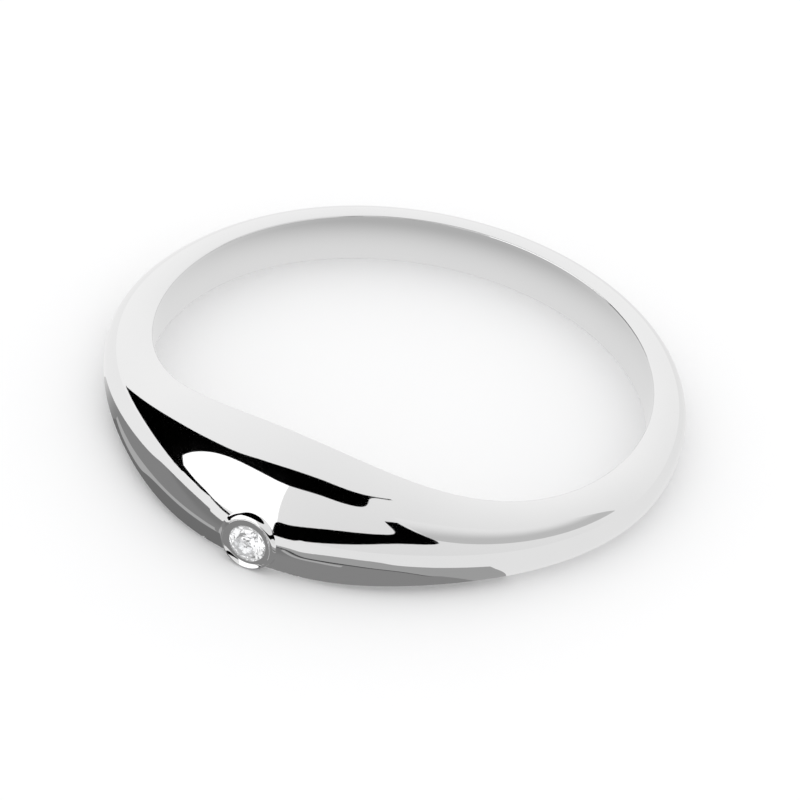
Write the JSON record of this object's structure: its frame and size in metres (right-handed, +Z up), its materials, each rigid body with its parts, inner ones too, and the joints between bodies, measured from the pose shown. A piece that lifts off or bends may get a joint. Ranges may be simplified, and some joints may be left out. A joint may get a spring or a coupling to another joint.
{
  "type": "stackable ring",
  "caption": "Polished silver finger ring: a slim rounded band that swells into a domed head, with a small round stone in a collar on the head's lens-shaped lower flank.",
  "frame": {"origin": "middle of the ring's footprint, on the surface that it rests on", "axes": "+Z up along the finger's axis, -Y towards the domed head and its stone, X across the finger"},
  "size_m": [0.0202, 0.0212, 0.0042],
  "materials": {
    "silver": "mirror-polished silver",
    "stone": "clear, facet-cut and polished"
  },
  "bodies": {
    "root": {"band": "silver", "stone": "stone"}
  },
  "joints": []
}
